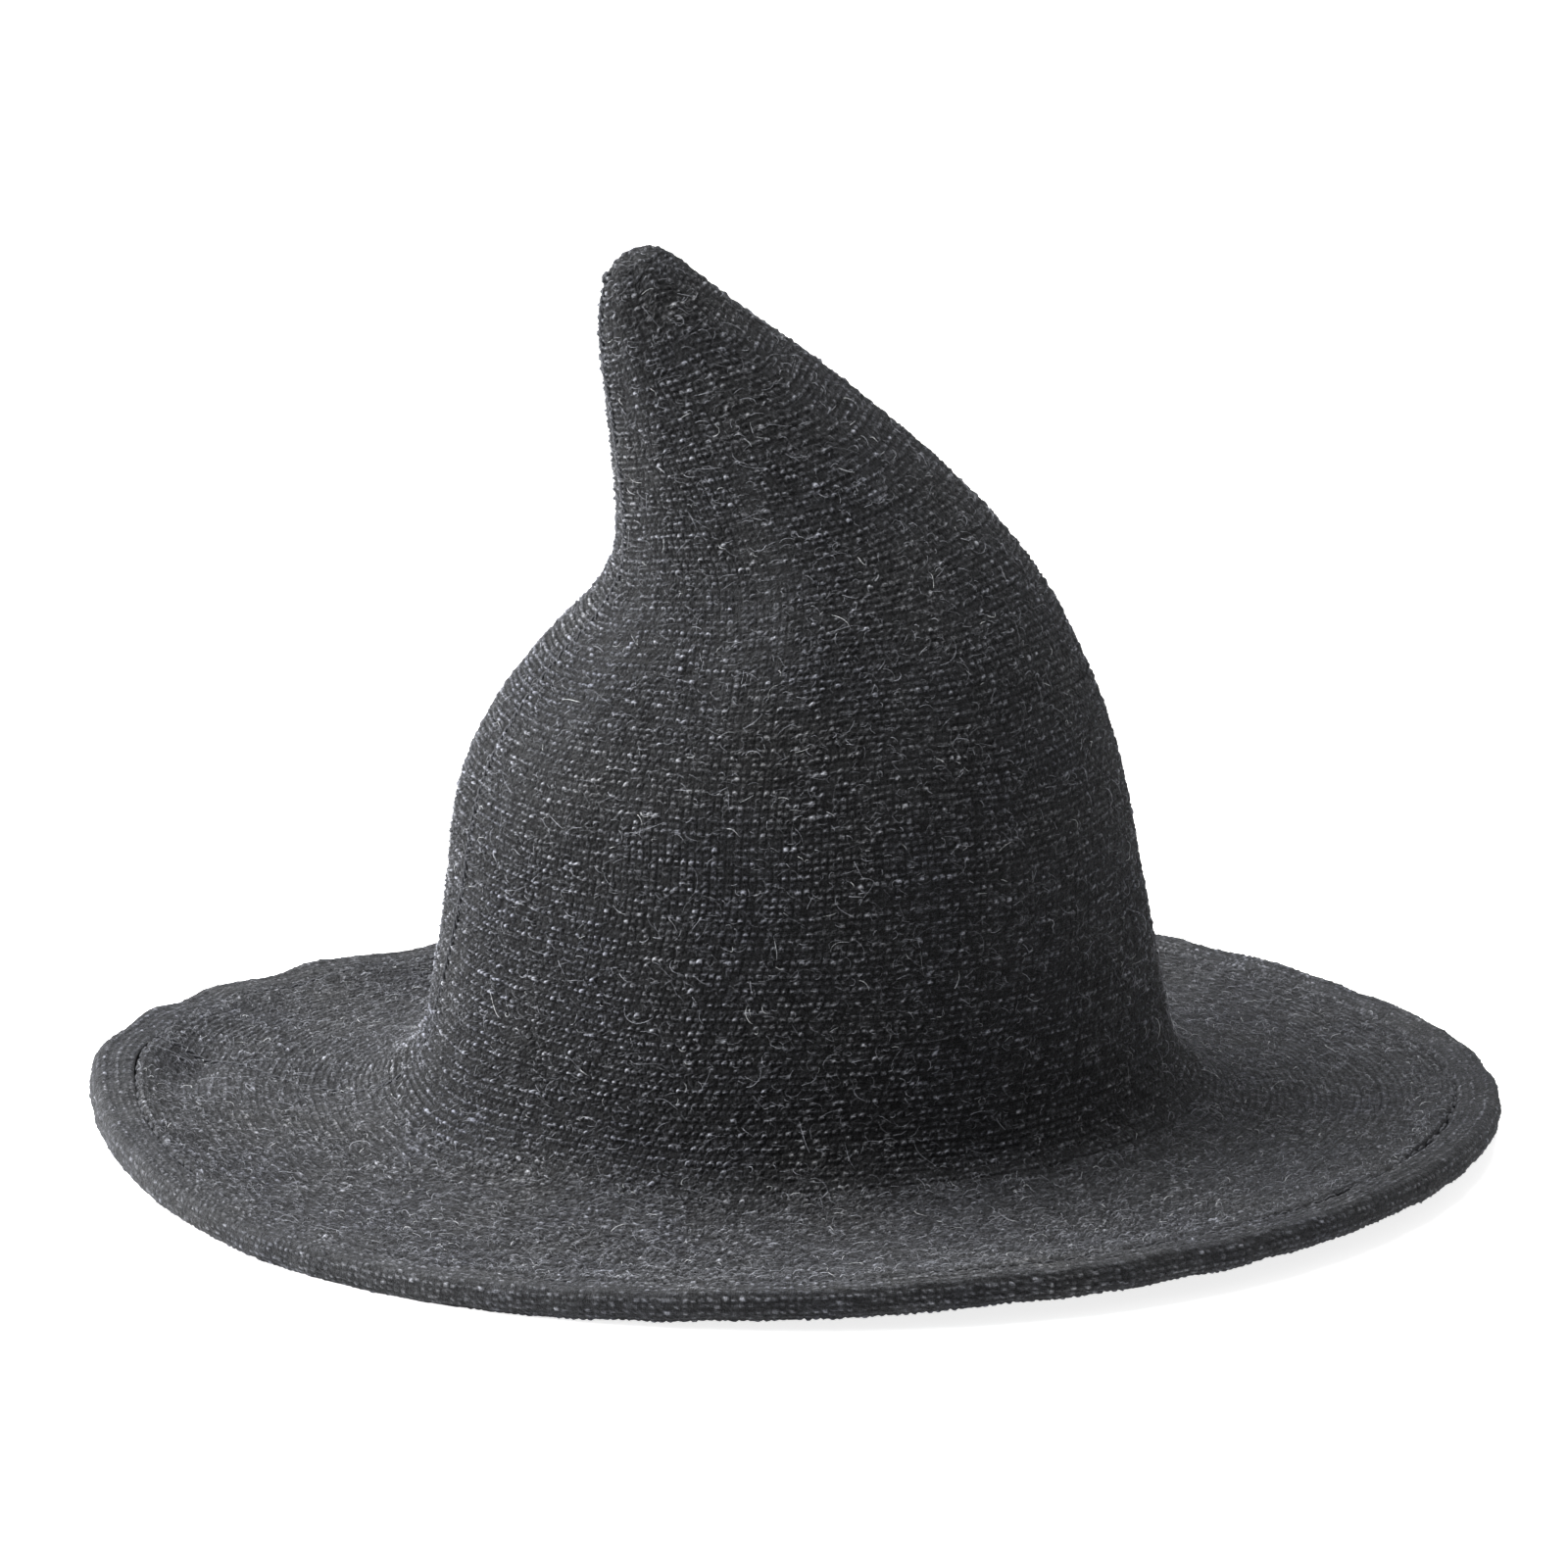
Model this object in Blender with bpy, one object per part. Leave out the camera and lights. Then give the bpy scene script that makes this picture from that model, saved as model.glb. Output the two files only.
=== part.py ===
"""A knitted wool witch hat with a wired brim and a cone that bends over.

The fabric follows one continuous surface, from the brim's edge, through a soft curve into the
crown, and up to the leaning tip. STATIONS gives that surface's cross-sections, each one an oval
ring with its own centre, radius and tilt. Every piece of fabric is a stretch of it with a
thickness, and the seams, the sweatband and the threads are placed from it too.

Axes: +X to the hat's right, +Y away from the viewer, +Z up. Units are metres.
"""

import math

import bmesh
import bpy
from mathutils import Vector

MM = 0.001
UP = Vector((0, 0, 1))

# Where the brim's hem sits, and how it waves up and down on the way round.
HEM_MID_Z = 6.0 * MM
RIM_WAVES = (
    # waves in a turn, height, azimuth of a crest
    (1, 0.9 * MM, math.radians(-120)),
    (2, 1.7 * MM, math.radians(-16)),
    (3, 2.0 * MM, math.radians(-56)),
    (4, 1.4 * MM, math.radians(-5)),
)
RIM_LIFT = (math.radians(-45), math.radians(45), 1.8 * MM)  # azimuth, spread, height
WAVE_START_RADIUS = 108 * MM
WAVE_FULL_RADIUS = 176 * MM

# Cross-sections of the fabric's outer face: centre x, height above the hem's middle,
# radius along X, and the tilt in degrees that lifts the +X side.
STATIONS = (
    (0.0, 3.9, 174.0, 0.0),
    (0.0, 2.0, 161.0, 0.0),
    (0.0, 1.4, 145.0, 0.0),
    (0.0, 1.9, 129.0, 0.0),
    (0.1, 4.2, 114.5, 0.0),
    (0.4, 10.4, 104.0, 0.0),
    (0.7, 19.8, 98.8, 0.0),
    (0.6, 32.8, 96.0, 0.0),
    (0.2, 49.8, 93.2, 0.0),
    (-0.7, 68.8, 90.4, 0.3),
    (-1.5, 85.8, 87.8, 1.0),
    (-1.3, 101.8, 83.2, 1.6),
    (-0.3, 116.8, 76.1, 2.6),
    (0.8, 132.3, 66.6, 5.0),
    (1.0, 145.5, 56.2, 8.2),
    (-1.3, 157.1, 47.7, 10.8),
    (-6.7, 168.2, 41.3, 13.3),
    (-13.3, 179.0, 35.4, 15.8),
    (-20.2, 189.5, 29.7, 18.6),
    (-27.2, 199.5, 24.1, 21.7),
    (-33.8, 209.0, 18.9, 24.5),
    (-38.3, 217.2, 14.6, 25.7),
    (-41.2, 224.0, 10.6, 26.0),
    (-42.9, 228.6, 5.9, 26.0),
    (-43.8, 230.2, 0.0, 26.0),
)
CROWN_OVAL = 0.975  # the depth along Y over the width along X
BRIM_OVAL = 0.969

# How the fabric is divided along the stations.
BRIM_EDGE = 0.0
BRIM_TOP = 5.5
BEND_START = 13.0
BEND_END = 17.0
APEX = float(len(STATIONS) - 1)

FABRIC = 3.0 * MM
GAP = 0.3 * MM
AROUND = 56

# The hem: the edge folded down and under, round the brim wire.
HEM_RADIUS = 180.0 * MM
HEM_HALF_HEIGHT = 4.0 * MM
HEM_FABRIC = 2.0 * MM
HEM_BEND_OFFSET = 2.0 * MM
HEM_TOP_EDGE = (1.4 * MM, 4.0 * MM)  # the height of its upper edge's two corners
HEM_UNDER = (
    # out from the wire, height of the lower face, height of the upper face
    (-5.0 * MM, -4.0 * MM, -2.0 * MM),
    (-9.0 * MM, -2.9 * MM, -0.9 * MM),
)
HEM_ARC_STEPS = 4
EDGE_LEAN = 1.0 * MM  # the brim's edge leans out by up to this much through its thickness
WIRE_RADIUS = 0.9 * MM
WIRE_GAP_ANGLE = math.radians(0.5)
SLEEVE_AZIMUTH = math.radians(90)
SLEEVE_LENGTH = 14 * MM
SLEEVE_BORE = 1.3 * MM
SLEEVE_RADIUS = 1.7 * MM
SLEEVE_SIDES = 12
STITCH_STATION = 0.16
THREAD_RADIUS = 0.6 * MM

# The seam runs up the -X side and drifts towards the viewer as it climbs.
SEAM_ROUTE = (
    # station, azimuth in degrees
    (0.0, 168.0),
    (5.0, 184.0),
    (10.0, 199.0),
    (24.0, 196.0),
)
SEAM_RADIUS = 0.7 * MM
BRIM_SEAM_ENDS = (0.5, 4.0)
CROWN_SEAM_START = 4.3
SEAM_REST = 0.3  # how far along the stations the seam stops short of the bend

# Inside the head opening.
BAND_LOW = 6.0
BAND_HIGH = 7.9
BAND_THICKNESS = 0.9 * MM
BAND_STITCH_STATION = 6.2
LABEL_SIZE = (0.5 * MM, 22 * MM, 30 * MM)
LABEL_AZIMUTH = math.radians(180)
LABEL_STATION = 9.1
LABEL_GAP = 1.2 * MM

KNOT_RADIUS = 1.8 * MM
KNOT_STATION = 22.6
KNOT_AZIMUTH = math.radians(190)
TIP_SEAM_END = 21.4

COLOURS = {
    # colour, roughness, metallic
    "wool": ((0.055, 0.058, 0.063), 0.95, 0.0),
    "yarn": ((0.07, 0.073, 0.08), 0.9, 0.0),
    "grosgrain": ((0.02, 0.02, 0.022), 0.8, 0.0),
    "label": ((0.6, 0.6, 0.58), 0.7, 0.0),
    "wire": ((0.5, 0.5, 0.5), 0.35, 1.0),
}


def clear_scene():
    for obj in list(bpy.data.objects):
        bpy.data.objects.remove(obj)


def material(name):
    """The named material, made the first time that it is asked for."""
    made = bpy.data.materials.get(name)
    if made is None:
        colour, roughness, metallic = COLOURS[name]
        made = bpy.data.materials.new(name)
        made.use_nodes = True
        shader = made.node_tree.nodes["Principled BSDF"]
        shader.inputs["Base Color"].default_value = (*colour, 1.0)
        shader.inputs["Roughness"].default_value = roughness
        shader.inputs["Metallic"].default_value = metallic
    return made


def smoothstep(low, high, value):
    share = min(1.0, max(0.0, (value - low) / (high - low)))
    return share * share * (3 - 2 * share)


def rim_wave(azimuth):
    """How far the brim's edge rises at this azimuth."""
    middle, spread, height = RIM_LIFT
    turn = (azimuth - middle + math.pi) % (2 * math.pi) - math.pi
    lift = height * math.exp(-((turn / spread) ** 2))
    return lift + sum(size * math.cos(n * (azimuth - crest)) for n, size, crest in RIM_WAVES)


def station(t):
    """Centre x, height, radius and tilt between the stations, on a Catmull-Rom curve."""
    last = len(STATIONS) - 1
    first = min(max(int(math.floor(t)), 0), last - 1)
    u = t - first
    near = [STATIONS[min(max(first + k, 0), last)] for k in (-1, 0, 1, 2)]
    x, z, radius, tilt = (
        0.5 * (2 * b + (c - a) * u + (2 * a - 5 * b + 4 * c - d) * u**2 + (3 * (b - c) + d - a) * u**3)
        for a, b, c, d in zip(*near)
    )
    return x * MM, z * MM, max(radius * MM, 0.0), math.radians(tilt)


def surface(t, azimuth):
    """A point of the fabric's outer face."""
    x, z, radius, tilt = station(t)
    wave = smoothstep(WAVE_START_RADIUS, WAVE_FULL_RADIUS, radius)
    oval = CROWN_OVAL + (BRIM_OVAL - CROWN_OVAL) * wave
    across = radius * math.cos(azimuth)
    return Vector((
        x + across * math.cos(tilt),
        radius * oval * math.sin(azimuth),
        HEM_MID_Z + z + across * math.sin(tilt) + wave * rim_wave(azimuth),
    ))


def outward(t, azimuth):
    """The unit normal of the fabric's outer face."""
    step = 0.01
    inside = min(max(t, step), APEX - 3 * step)
    along = surface(inside + step, azimuth) - surface(inside - step, azimuth)
    around = surface(inside, azimuth + step) - surface(inside, azimuth - step)
    return around.cross(along).normalized()


def offset_point(t, azimuth, depth):
    """A point this far inside the fabric's outer face."""
    return surface(t, azimuth) - outward(t, azimuth) * depth


def steps(first, last, count):
    return [first + (last - first) * k / count for k in range(count + 1)]


def azimuths():
    return [2 * math.pi * k / AROUND for k in range(AROUND)]


def seam_azimuth(t):
    for (low, start), (high, end) in zip(SEAM_ROUTE, SEAM_ROUTE[1:]):
        if t <= high:
            break
    return math.radians(start + (end - start) * smoothstep(low, high, t))


def make_object(name, mesh_data, material_name):
    """Turns a bmesh into a named object whose faces point out and whose round faces are smooth."""
    bmesh.ops.remove_doubles(mesh_data, verts=mesh_data.verts, dist=1e-6)
    bmesh.ops.recalc_face_normals(mesh_data, faces=mesh_data.faces)
    mesh = bpy.data.meshes.new(name)
    mesh_data.to_mesh(mesh)
    mesh_data.free()
    mesh.shade_smooth()
    mesh.set_sharp_from_angle(angle=math.radians(40))
    mesh.materials.append(material(material_name))
    made = bpy.data.objects.new(name, mesh)
    bpy.context.scene.collection.objects.link(made)
    return made


def set_origin(obj, point):
    """Moves an object's origin to a point and leaves its shape where it is."""
    for vertex in obj.data.vertices:
        vertex.co -= point
    obj.location = point


def wrapped(name, loops, material_name):
    """A closed solid through closed loops of equal length, the last joined to the first."""
    built = bmesh.new()
    rows = [[built.verts.new(point) for point in loop] for loop in loops]
    size = len(rows[0])
    for k, row in enumerate(rows):
        following = rows[(k + 1) % len(rows)]
        for j in range(size):
            ahead = (j + 1) % size
            built.faces.new((row[j], row[ahead], following[ahead], following[j]))
    return make_object(name, built, material_name)


def capped(name, loops, material_name):
    """A closed solid through closed loops of equal length, with a face across each end."""
    built = bmesh.new()
    rows = [[built.verts.new(point) for point in loop] for loop in loops]
    size = len(rows[0])
    for row, following in zip(rows, rows[1:]):
        for j in range(size):
            ahead = (j + 1) % size
            built.faces.new((row[j], row[ahead], following[ahead], following[j]))
    built.faces.new(rows[0])
    built.faces.new(rows[-1])
    return make_object(name, built, material_name)


def fabric(name, first, last, rows):
    """A stretch of the knitted fabric, between two places along the stations."""
    path = steps(first, last, rows)
    loops = [
        [surface(t, a) for t in path] + [offset_point(t, a, FABRIC) for t in reversed(path)]
        for a in azimuths()
    ]
    return wrapped(name, loops, "wool")


def gap_step(t):
    """How far along the stations one gap is, near t."""
    step = 0.05
    return GAP * step / (surface(t + step, 0) - surface(t, 0)).length


def tube_loop(centre, tangent, reference, radius, sides):
    """A ring of points round a centre, square to the tangent, that starts off across the reference."""
    side = tangent.cross(reference).normalized()
    up = side.cross(tangent)
    angles = [2 * math.pi * k / sides for k in range(sides)]
    return [centre + radius * (math.cos(a) * side + math.sin(a) * up) for a in angles]


def tube_loops(points, references, radius, sides):
    """Rings along an open path, each turned to the reference direction at its point."""
    loops = []
    for k, (point, reference) in enumerate(zip(points, references)):
        ahead = points[min(k + 1, len(points) - 1)]
        behind = points[max(k - 1, 0)]
        loops.append(tube_loop(point, (ahead - behind).normalized(), reference, radius, sides))
    return loops


def ring_tube(name, centre_at, radius, sides, material_name):
    """A closed ring of round section whose middle line is given by azimuth."""
    loops = []
    for azimuth in azimuths():
        tangent = (centre_at(azimuth + 0.01) - centre_at(azimuth - 0.01)).normalized()
        loops.append(tube_loop(centre_at(azimuth), tangent, UP, radius, sides))
    return wrapped(name, loops, material_name)


def hem_centre(azimuth):
    """The middle of the hem's fold, where the wire runs."""
    return Vector((
        HEM_RADIUS * math.cos(azimuth),
        HEM_RADIUS * BRIM_OVAL * math.sin(azimuth),
        HEM_MID_Z + rim_wave(azimuth),
    ))


def hem_section():
    """The folded edge's section, as (outward, up) from the wire: an open C round the wire."""
    quarter = math.pi / (2 * HEM_ARC_STEPS)
    arc = [math.pi / 2 - quarter * k for k in range(2 * HEM_ARC_STEPS + 1)]
    inner_height = HEM_HALF_HEIGHT - HEM_FABRIC
    top_start = STATIONS[0][2] * MM + GAP - HEM_RADIUS
    outer = [(top_start, HEM_TOP_EDGE[1])]
    outer += [
        (HEM_BEND_OFFSET + HEM_HALF_HEIGHT * math.cos(a), HEM_HALF_HEIGHT * math.sin(a)) for a in arc
    ]
    outer += [(out, lower) for out, lower, _ in HEM_UNDER]
    inner = [(out, upper) for out, _, upper in reversed(HEM_UNDER)]
    inner += [
        (HEM_BEND_OFFSET + inner_height * math.cos(a), inner_height * math.sin(a))
        for a in reversed(arc)
    ]
    inner += [(top_start + EDGE_LEAN, HEM_TOP_EDGE[0])]
    return outer + inner


def build_hem():
    """The hem, flattened where its lowest stretches rest on a surface."""
    section = hem_section()
    loops = []
    for azimuth in azimuths():
        middle = hem_centre(azimuth)
        away = Vector((math.cos(azimuth), BRIM_OVAL * math.sin(azimuth), 0))
        loop = [middle + away * out + Vector((0, 0, up)) for out, up in section]
        for point in loop:
            point.z = max(point.z, 0.0)
        loops.append(loop)
    return wrapped("hem", loops, "wool")


def build_wire():
    """The brim wire, one turn of spring steel whose ends meet in the sleeve."""
    first = SLEEVE_AZIMUTH + WIRE_GAP_ANGLE
    last = SLEEVE_AZIMUTH + 2 * math.pi - WIRE_GAP_ANGLE
    points = [hem_centre(a) for a in steps(first, last, 2 * AROUND)]
    return capped("brim_wire", tube_loops(points, [UP] * len(points), WIRE_RADIUS, 6), "wire")


def build_sleeve():
    """The crimped sleeve over the wire's two ends."""
    half_angle = SLEEVE_LENGTH / 2 / HEM_RADIUS
    points = [hem_centre(a) for a in steps(SLEEVE_AZIMUTH - half_angle, SLEEVE_AZIMUTH + half_angle, 4)]
    outside = tube_loops(points, [UP] * len(points), SLEEVE_RADIUS, SLEEVE_SIDES)
    bore = tube_loops(points, [UP] * len(points), SLEEVE_BORE, SLEEVE_SIDES)
    loops = [
        [loop[k] for loop in outside] + [loop[k] for loop in reversed(bore)]
        for k in range(SLEEVE_SIDES)
    ]
    return wrapped("wire_sleeve", loops, "wire")


def build_hem_stitching():
    def centre_at(azimuth):
        return offset_point(STITCH_STATION, azimuth, -(THREAD_RADIUS + GAP))

    return ring_tube("hem_stitching", centre_at, THREAD_RADIUS, 5, "yarn")


def build_seam(name, first, last, count):
    """A stretch of the seam's raised linking stitch."""
    path = steps(first, last, count)
    points = [offset_point(t, seam_azimuth(t), -(SEAM_RADIUS + GAP)) for t in path]
    normals = [outward(t, seam_azimuth(t)) for t in path]
    return capped(name, tube_loops(points, normals, SEAM_RADIUS, 6), "yarn")


def build_sweatband():
    """The ribbon inside the head opening."""
    near = FABRIC + GAP
    far = near + BAND_THICKNESS
    path = steps(BAND_LOW, BAND_HIGH, 3)
    loops = [
        [offset_point(t, a, near) for t in path] + [offset_point(t, a, far) for t in reversed(path)]
        for a in azimuths()
    ]
    return wrapped("sweatband", loops, "grosgrain")


def build_sweatband_stitching():
    depth = FABRIC + BAND_THICKNESS + 2 * GAP + THREAD_RADIUS

    def centre_at(azimuth):
        return offset_point(BAND_STITCH_STATION, azimuth, depth)

    return ring_tube("sweatband_stitching", centre_at, THREAD_RADIUS, 5, "yarn")


def build_label():
    """A blank woven label, flat against the crown's inside above the sweatband."""
    thickness, width, height = LABEL_SIZE
    sag = (width / 2) ** 2 / (2 * station(LABEL_STATION)[2])
    middle = offset_point(LABEL_STATION, LABEL_AZIMUTH, FABRIC + LABEL_GAP + sag + thickness / 2)
    normal = outward(LABEL_STATION, LABEL_AZIMUTH)
    side = Vector((0, 1, 0))
    up = normal.cross(side).normalized()
    built = bmesh.new()
    bmesh.ops.create_cube(built, size=1.0)
    for vertex in built.verts:
        x, y, z = vertex.co
        vertex.co = middle + normal * (x * thickness) + side * (y * width) + up * (z * height)
    return make_object("label", built, "label")


def build_tip_closure():
    """The drawn-up knot of yarn that closes the knitting at the tip."""
    centre = offset_point(KNOT_STATION, KNOT_AZIMUTH, -(KNOT_RADIUS + GAP))
    built = bmesh.new()
    bmesh.ops.create_uvsphere(built, u_segments=12, v_segments=8, radius=KNOT_RADIUS)
    bmesh.ops.translate(built, verts=built.verts, vec=centre)
    return make_object("tip_closure", built, "yarn")


def bend_axis_point():
    """The middle of the neck that the tip bends about."""
    x, z, _, _ = station((BEND_START + BEND_END) / 2)
    return Vector((x, 0, HEM_MID_Z + z))


def main():
    clear_scene()
    fabric("brim", BRIM_EDGE, BRIM_TOP - gap_step(BRIM_TOP), 8)
    fabric("crown", BRIM_TOP, BEND_START - gap_step(BEND_START), 9)
    fabric("crown_bend", BEND_START, BEND_END - gap_step(BEND_END), 5)
    moving = [fabric("crown_tip", BEND_END, APEX, 9)]
    build_hem()
    build_wire()
    build_sleeve()
    build_hem_stitching()
    build_seam("brim_seam", *BRIM_SEAM_ENDS, 6)
    build_seam("crown_seam", CROWN_SEAM_START, BEND_START - SEAM_REST, 14)
    moving.append(build_seam("tip_seam", BEND_END + SEAM_REST, TIP_SEAM_END, 8))
    build_sweatband()
    build_sweatband_stitching()
    build_label()
    moving.append(build_tip_closure())
    for obj in moving:
        set_origin(obj, bend_axis_point())


main()
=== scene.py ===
"""The looks of a knitted wool witch hat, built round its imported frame.

The fabric is knitted stitch by stitch: courses run round the hat, from the brim's edge up to the
tip, and each one holds as many wales as fit its length. Every stitch shows the two arcs of the
purl side, as real relief in the mesh, and loose fibres lie over it. The hem is the same fabric,
rolled under and held by a running stitch.
"""

import math

import bpy
import numpy as np
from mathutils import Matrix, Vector


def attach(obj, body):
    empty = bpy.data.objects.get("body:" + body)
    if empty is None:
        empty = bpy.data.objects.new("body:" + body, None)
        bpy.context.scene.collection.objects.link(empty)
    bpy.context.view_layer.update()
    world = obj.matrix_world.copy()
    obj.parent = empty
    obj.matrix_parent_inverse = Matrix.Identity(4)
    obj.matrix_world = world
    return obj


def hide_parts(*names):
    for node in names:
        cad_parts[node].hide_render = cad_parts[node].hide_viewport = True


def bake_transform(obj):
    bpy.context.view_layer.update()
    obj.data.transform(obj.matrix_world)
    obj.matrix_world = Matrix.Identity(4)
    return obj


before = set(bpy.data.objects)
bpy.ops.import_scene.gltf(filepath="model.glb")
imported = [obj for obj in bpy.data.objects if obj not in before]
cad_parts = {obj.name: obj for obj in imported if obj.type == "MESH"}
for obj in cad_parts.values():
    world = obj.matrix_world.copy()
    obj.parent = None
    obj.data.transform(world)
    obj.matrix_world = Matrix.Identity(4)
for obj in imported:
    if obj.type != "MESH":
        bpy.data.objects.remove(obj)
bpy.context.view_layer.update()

MM = 0.001
RANDOM = np.random.default_rng(11)

# The fabric's cross-sections, as the frame has them: centre x, height above the hem's middle and
# radius in millimetres, and the tilt in degrees that lifts the +X side.
STATIONS = np.array((
    (0.0, 3.9, 174.0, 0.0),
    (0.0, 2.0, 161.0, 0.0),
    (0.0, 1.4, 145.0, 0.0),
    (0.0, 1.9, 129.0, 0.0),
    (0.1, 4.2, 114.5, 0.0),
    (0.4, 10.4, 104.0, 0.0),
    (0.7, 19.8, 98.8, 0.0),
    (0.6, 32.8, 96.0, 0.0),
    (0.2, 49.8, 93.2, 0.0),
    (-0.7, 68.8, 90.4, 0.3),
    (-1.5, 85.8, 87.8, 1.0),
    (-1.3, 101.8, 83.2, 1.6),
    (-0.3, 116.8, 76.1, 2.6),
    (0.8, 132.3, 66.6, 5.0),
    (1.0, 145.5, 56.2, 8.2),
    (-1.3, 157.1, 47.7, 10.8),
    (-6.7, 168.2, 41.3, 13.3),
    (-13.3, 179.0, 35.4, 15.8),
    (-20.2, 189.5, 29.7, 18.6),
    (-27.2, 199.5, 24.1, 21.7),
    (-33.8, 209.0, 18.9, 24.5),
    (-38.3, 217.2, 14.6, 25.7),
    (-41.2, 224.0, 10.6, 26.0),
    (-42.9, 228.6, 5.9, 26.0),
    (-43.8, 230.2, 0.0, 26.0),
))
APEX = len(STATIONS) - 1.0
HEM_MID_Z = 6.0 * MM
CROWN_OVAL = 0.975
BRIM_OVAL = 0.969
WAVE_START_RADIUS = 108 * MM
WAVE_FULL_RADIUS = 176 * MM
RIM_WAVES = (
    # waves in a turn, height, azimuth of a crest
    (1, 0.9 * MM, math.radians(-120)),
    (2, 1.7 * MM, math.radians(-16)),
    (3, 2.0 * MM, math.radians(-56)),
    (4, 1.4 * MM, math.radians(-5)),
)
RIM_LIFT = (math.radians(-45), math.radians(45), 1.8 * MM)  # azimuth, spread, height
FABRIC = 3.0 * MM
SEAM_ROUTE = (
    # station, azimuth in degrees
    (0.0, 168.0),
    (5.0, 184.0),
    (10.0, 199.0),
    (24.0, 196.0),
)
SEAM_ENDS = (0.35, 22.2)

# The hem's section: the edge folded down and under, an open C round the wire.
HEM_RADIUS = 180.0 * MM
HEM_HALF_HEIGHT = 4.0 * MM
HEM_FABRIC = 2.0 * MM
HEM_BEND_OFFSET = 2.0 * MM
HEM_START = (-5.7 * MM, 4.0 * MM)
HEM_FOOT = (-5.0 * MM, -4.0 * MM)
HEM_END = (-9.0 * MM, -2.9 * MM)
HEM_COURSES = 18
HEM_SPLIT = 10

# The edge's small scallops, which are strongest at the back left, and the dent inside the curl.
EDGE_RADII = (158 * MM, 174 * MM)  # where the scallops start and where they are full
SCALLOPS = 27
SCALLOP_LEAST = 0.25  # their strength away from the back left
SCALLOP_HEIGHT = 0.6 * MM
SCALLOP_MIDDLE = math.radians(138)
SCALLOP_SPREAD = math.radians(46)
DENT_DEPTH = 4.5 * MM
DENT_AZIMUTH = math.radians(175)
DENT_SPREAD = math.radians(8)
DENT_RADIUS = 162 * MM
DENT_WIDTH = 8.0 * MM
CURL_HEIGHT = 1.2 * MM  # how far the edge itself curls up outside the dent
CURL_SPREAD = math.radians(9)

# The knitting.
COURSE = 1.85 * MM
WALE = 2.0 * MM
CROWN_RISE = 4.6  # the station where the brim's flatter fabric has turned into the crown's
ROWS_CROWN = 4
ROWS_BRIM = 3
ROWS_INSIDE = 2
SAMPLES_OUTSIDE = 4
SAMPLES_INSIDE = 2
STRAND = 0.5 * MM
RELIEF = 0.9 * MM
HEM_RELIEF = 0.6  # the rolled hem's relief over the rest's
HEM_DIP = 0.9 * MM  # the groove between the hem and the brim
HEM_RIDGE = 0.5 * MM
GATHER = 0.985  # the wales' width over that of loose knitting
CRISP_AZIMUTH = math.radians(195)  # where the knitting stands out the most, and how much; its relief, and with it the painted shade in its valleys, is strongest on the lit left side
CRISP_SPREAD = math.radians(75)
CRISP = (0.75, 0.6)
MOST_FACES = 185000

# Inside the head opening.
BAND_LOW = 6.0
BAND_HIGH = 7.9
BAND_THICKNESS = 0.9 * MM
LABEL_FLAT = (0.022, 0.030)
LABEL_STATION = 9.1
LABEL_REACH = 0.87  # half its height, along the stations

# The threads.
SEAM_PITCH = 5.2 * MM
SEAM_STRAND = 0.42 * MM
KNOT_STATION = 22.6
KNOT_AZIMUTH = math.radians(190)
KNOT_STRAND = 0.45 * MM
HEM_STITCH_STATION = 0.02
HEM_STITCH_DEPTH = 1.05 * MM
BAND_STITCH_STATION = 6.2


# ---------------------------------------------------------------- the fabric's shape

def smoothstep(low, high, value):
    share = np.clip((value - low) / (high - low), 0.0, 1.0)
    return share * share * (3 - 2 * share)


def bump(value, middle, spread):
    return np.exp(-(((value - middle) / spread) ** 2))


def turned(azimuth, middle):
    """The azimuth measured from a middle one, from minus half a turn to half a turn."""
    return (azimuth - middle + math.pi) % (2 * math.pi) - math.pi


def rim_wave(azimuth):
    """How far the brim's edge rises at each azimuth."""
    middle, spread, height = RIM_LIFT
    lift = height * bump(turned(azimuth, middle), 0, spread)
    return lift + sum(size * np.cos(n * (azimuth - crest)) for n, size, crest in RIM_WAVES)


def scallop(azimuth):
    """The small waves of the edge itself, with the curl at its left end."""
    strength = bump(turned(azimuth, SCALLOP_MIDDLE), 0, SCALLOP_SPREAD)
    strength = SCALLOP_LEAST + (1 - SCALLOP_LEAST) * strength
    phase = SCALLOPS * azimuth + 1.6 * np.sin(3 * azimuth + 0.7) + 1.1 * np.sin(7 * azimuth)
    curl = CURL_HEIGHT * bump(turned(azimuth, DENT_AZIMUTH), 0, CURL_SPREAD)
    return SCALLOP_HEIGHT * strength * np.sin(phase) + curl


def station(t):
    """Centre x, height, radius and tilt between the stations, on a Catmull-Rom curve."""
    t = np.atleast_1d(np.asarray(t, float))
    last = len(STATIONS) - 1
    first = np.clip(np.floor(t).astype(int), 0, last - 1)
    u = (t - first)[:, None]
    a, b, c, d = (STATIONS[np.clip(first + k, 0, last)] for k in (-1, 0, 1, 2))
    at = 0.5 * (2 * b + (c - a) * u + (2 * a - 5 * b + 4 * c - d) * u**2 + (3 * (b - c) + d - a) * u**3)
    return at[:, 0] * MM, at[:, 1] * MM, np.maximum(at[:, 2] * MM, 0.0), np.radians(at[:, 3])


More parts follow.
